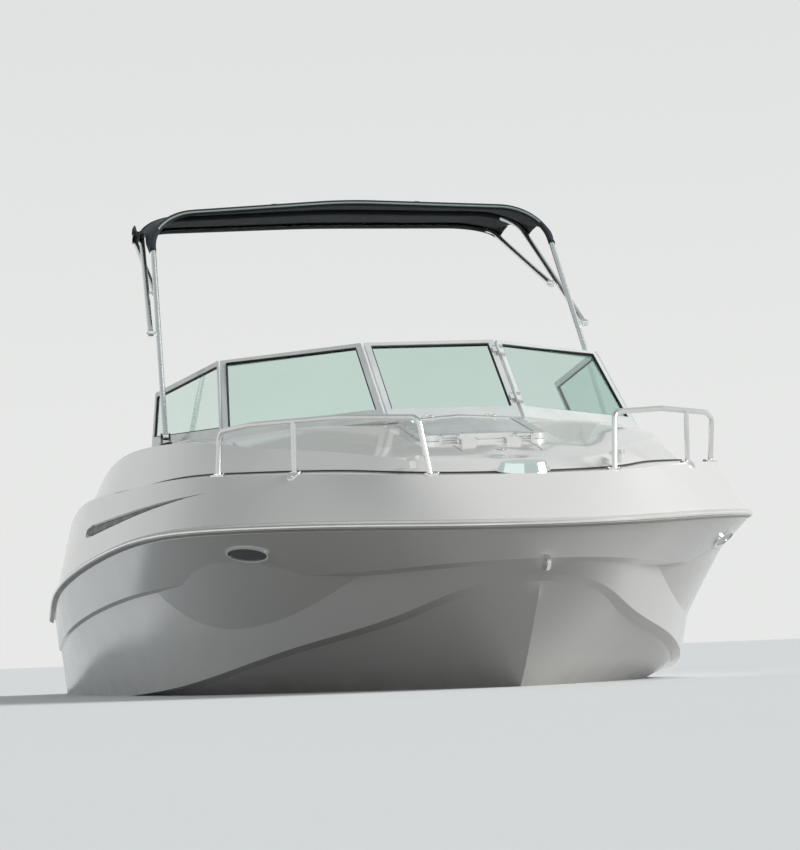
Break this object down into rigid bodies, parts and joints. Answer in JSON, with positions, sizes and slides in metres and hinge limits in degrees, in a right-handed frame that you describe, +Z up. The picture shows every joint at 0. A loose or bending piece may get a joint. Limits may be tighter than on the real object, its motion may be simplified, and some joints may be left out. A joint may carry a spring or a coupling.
{
  "type": "cuddy cabin speedboat",
  "caption": "Planing sport boat with a deep-V hull, cabin trunk, raked windshield, folding canvas top, open cockpit and sterndrive.",
  "frame": {"origin": "on the centreline amidships, at the level of the still water the boat floats in", "axes": "+X forward to the bow, +Y to port, +Z up"},
  "size_m": [6.614, 2.5672, 3.0477],
  "materials": {
    "gelcoat": "gloss gelcoat, off-white",
    "deck_gelcoat": "gloss gelcoat, white",
    "rub_rail": "white vinyl extrusion",
    "dark_acrylic": "smoked acrylic",
    "upholstery": "marine vinyl, off-white",
    "stainless": "polished stainless steel",
    "anodised_frame": "satin anodised",
    "tinted_glass": "green tinted safety glass",
    "black_plastic": "grained black",
    "seat_shell": "moulded, white",
    "engine_paint": "dark painted iron",
    "drive_paint": "black painted alloy",
    "propeller_alloy": "dark painted alloy",
    "canvas": "dark navy woven acrylic canvas"
  },
  "bodies": {
    "boat": {"hull": "gelcoat", "deck": "deck_gelcoat", "cockpit_sole": "deck_gelcoat", "cockpit_side_port": "deck_gelcoat", "cockpit_side_starboard": "deck_gelcoat", "engine_box": "deck_gelcoat", "swim_platform": "deck_gelcoat", "rub_rail": "rub_rail", "portlights": "dark_acrylic", "portlight_rims": "stainless", "rub_rail_insert": "stainless", "lid_hinges": "stainless", "cabin_bulkhead": "deck_gelcoat", "cabin_berth": "deck_gelcoat", "berth_cushion": "upholstery", "anchor_locker": "deck_gelcoat", "bow_light": "stainless", "bow_rail_port": "stainless", "bow_rail_starboard": "stainless", "cleats": "stainless", "bow_eye": "stainless", "windshield_frame_port": "anodised_frame", "windshield_frame_starboard": "anodised_frame", "windshield_glass": "tinted_glass", "helm_console": "deck_gelcoat", "port_console": "deck_gelcoat", "throttle": "black_plastic", "seat_pedestals": "anodised_frame", "aft_bench": "deck_gelcoat", "bench_cushions": "upholstery", "engine": "engine_paint", "transom_shield": "drive_paint", "bimini_mounts": "stainless"},
    "helm_seat": {"helm_seat_shell": "seat_shell", "helm_seat_cushions": "upholstery"},
    "passenger_seat": {"passenger_seat_shell": "seat_shell", "passenger_seat_cushions": "upholstery"},
    "engine_lid": {"engine_hatch": "deck_gelcoat", "sun_pad": "upholstery"},
    "walkway_door": {"transom_door": "deck_gelcoat"},
    "cabin_door": {"companionway_door": "dark_acrylic"},
    "foredeck_hatch": {"deck_hatch_frame": "anodised_frame", "deck_hatch_glass": "dark_acrylic"},
    "locker_lid": {"anchor_locker_lid": "deck_gelcoat"},
    "opening_pane": {"windshield_gate": "anodised_frame", "windshield_gate_glass": "tinted_glass"},
    "helm_wheel": {"steering_wheel": "black_plastic"},
    "gimbal": {"drive_gimbal": "drive_paint"},
    "leg": {"drive_leg": "drive_paint"},
    "screw": {"propeller": "propeller_alloy"},
    "ladder": {"boarding_ladder": "stainless"},
    "main_bow": {"bimini_main_bow": "anodised_frame"},
    "front_bow": {"bimini_front_bow": "anodised_frame", "bimini_canvas": "canvas"},
    "rear_bow": {"bimini_rear_bow": "anodised_frame"}
  },
  "joints": [
    {"name": "drive_steer", "type": "hinge", "parent": "boat", "child": "gimbal", "pos_m": [-2.8, 0, 0.04], "axis": [0, 0, 1], "range_deg": [-28, 28]},
    {"name": "drive_tilt", "type": "hinge", "parent": "gimbal", "child": "leg", "pos_m": [-2.8, 0, 0.04], "axis": [0, 1, 0], "range_deg": [0, 45]},
    {"name": "propeller_spin", "type": "hinge", "parent": "leg", "child": "screw", "pos_m": [-3.1, 0, -0.56], "axis": [1, 0, 0], "continuous": true},
    {"name": "helm_wheel_turn", "type": "hinge", "parent": "boat", "child": "helm_wheel", "pos_m": [0.32572, -0.56, 0.90747], "axis": [0.9398, 0, -0.3417], "range_deg": [-505, 505]},
    {"name": "cabin_door_slide", "type": "slide", "parent": "boat", "child": "cabin_door", "axis": [0, 1, 0], "range_m": [0, 0.5]},
    {"name": "foredeck_hatch_lift", "type": "hinge", "parent": "boat", "child": "foredeck_hatch", "pos_m": [2.3395, 0, 0.99], "axis": [0, 1, 0], "range_deg": [0, 80]},
    {"name": "locker_lid_lift", "type": "hinge", "parent": "boat", "child": "locker_lid", "pos_m": [2.397, 0, 0.972], "axis": [0, -1, 0], "range_deg": [0, 85]},
    {"name": "opening_pane_swing", "type": "hinge", "parent": "boat", "child": "opening_pane", "pos_m": [1.73052, 0.28, 1.1326], "axis": [-0.8114, 0, 0.5845], "range_deg": [0, 90]},
    {"name": "engine_lid_lift", "type": "hinge", "parent": "boat", "child": "engine_lid", "pos_m": [-2.6025, 0, 0.622], "axis": [0, -1, 0], "range_deg": [0, 45]},
    {"name": "walkway_door_swing", "type": "hinge", "parent": "boat", "child": "walkway_door", "pos_m": [-2.576, 0.893, 0.42], "axis": [0, 0, 1], "range_deg": [0, 90]},
    {"name": "ladder_fold", "type": "hinge", "parent": "boat", "child": "ladder", "pos_m": [-3.172, 0.56, 0.416], "axis": [0, -1, 0], "range_deg": [0, 255]},
    {"name": "helm_seat_swivel", "type": "hinge", "parent": "boat", "child": "helm_seat", "pos_m": [-0.3, -0.545, 0.47], "axis": [0, 0, 1], "continuous": true},
    {"name": "passenger_seat_swivel", "type": "hinge", "parent": "boat", "child": "passenger_seat", "pos_m": [-0.3, 0.545, 0.47], "axis": [0, 0, 1], "continuous": true},
    {"name": "bimini_fold", "type": "hinge", "parent": "boat", "child": "front_bow", "pos_m": [0.36, 0, 1.12], "axis": [0, -1, 0], "range_deg": [0, 28], "deforming": ["bimini_canvas"]},
    {"name": "main_bow_fold", "type": "hinge", "parent": "front_bow", "child": "main_bow", "pos_m": [-0.007, 0, 1.6], "axis": [0, -1, 0], "range_deg": [-15, 0]},
    {"name": "rear_bow_fold", "type": "hinge", "parent": "main_bow", "child": "rear_bow", "pos_m": [-0.334, 0, 1.807], "axis": [0, -1, 0], "range_deg": [-9, 0]}
  ],
  "couplings": [
    {"joint": "helm_wheel_turn", "follows": "drive_steer", "ratio": 18},
    {"joint": "main_bow_fold", "follows": "bimini_fold", "ratio": -0.53},
    {"joint": "rear_bow_fold", "follows": "bimini_fold", "ratio": -0.32}
  ]
}
